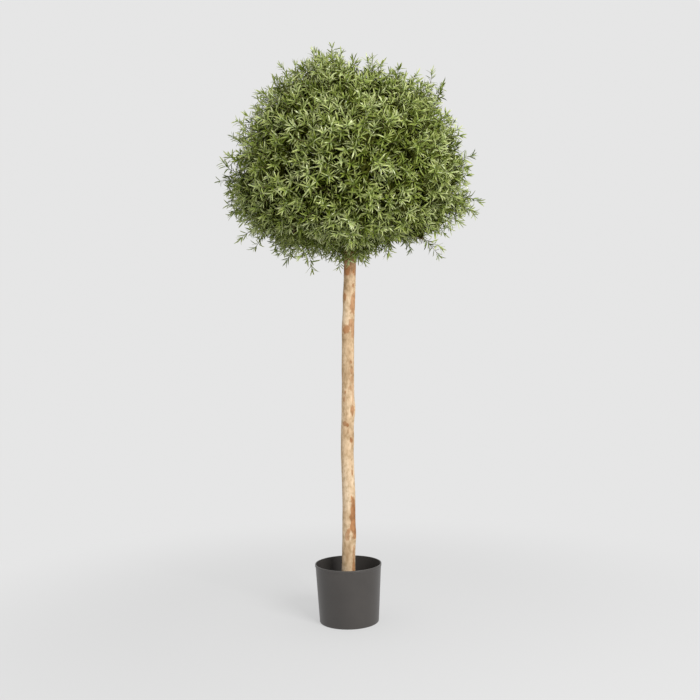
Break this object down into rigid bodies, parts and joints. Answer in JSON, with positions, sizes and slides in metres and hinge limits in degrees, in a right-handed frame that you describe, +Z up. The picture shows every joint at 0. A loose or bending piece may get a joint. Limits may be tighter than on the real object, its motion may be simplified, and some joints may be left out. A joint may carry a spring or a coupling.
{
  "type": "artificial lollipop topiary tree",
  "caption": "Artificial ball tree: a dense ball of narrow green leaves on a bare natural-wood pole, standing in a tapered dark plastic pot cast full of filler.",
  "frame": {"origin": "middle of the pot's flat underside", "axes": "+Z up along the pole, -Y towards the front, +X to the right as seen from the front"},
  "size_m": [0.6975, 0.6566, 1.5015],
  "materials": {
    "pot_plastic": "dark charcoal moulded plastic with a soft satin sheen",
    "filler": "rough dark cast filler",
    "pole_wood": "pale peeled natural wood with orange-brown patches of bark and small knots",
    "branch": "brown wrapped branch wire, matt",
    "foliage": "mid-green moulded leaves, some lighter and some darker, with a slight sheen"
  },
  "bodies": {
    "root": {"bough_high_1": "branch", "bough_high_2": "branch", "bough_high_3": "branch", "bough_high_4": "branch", "bough_low_1": "branch", "bough_low_2": "branch", "bough_low_3": "branch", "bough_low_4": "branch", "bough_low_5": "branch", "bough_low_6": "branch", "bough_low_7": "branch", "bough_mid_1": "branch", "bough_mid_2": "branch", "bough_mid_3": "branch", "bough_mid_4": "branch", "bough_mid_5": "branch", "bough_mid_6": "branch", "filler": "filler", "foliage_high_1": "foliage", "foliage_high_2": "foliage", "foliage_high_3": "foliage", "foliage_high_4": "foliage", "foliage_low_1": "foliage", "foliage_low_2": "foliage", "foliage_low_3": "foliage", "foliage_low_4": "foliage", "foliage_low_5": "foliage", "foliage_low_6": "foliage", "foliage_low_7": "foliage", "foliage_mid_1": "foliage", "foliage_mid_2": "foliage", "foliage_mid_3": "foliage", "foliage_mid_4": "foliage", "foliage_mid_5": "foliage", "foliage_mid_6": "foliage", "foliage_top": "foliage", "pot": "pot_plastic", "trunk": "pole_wood"}
  },
  "joints": []
}
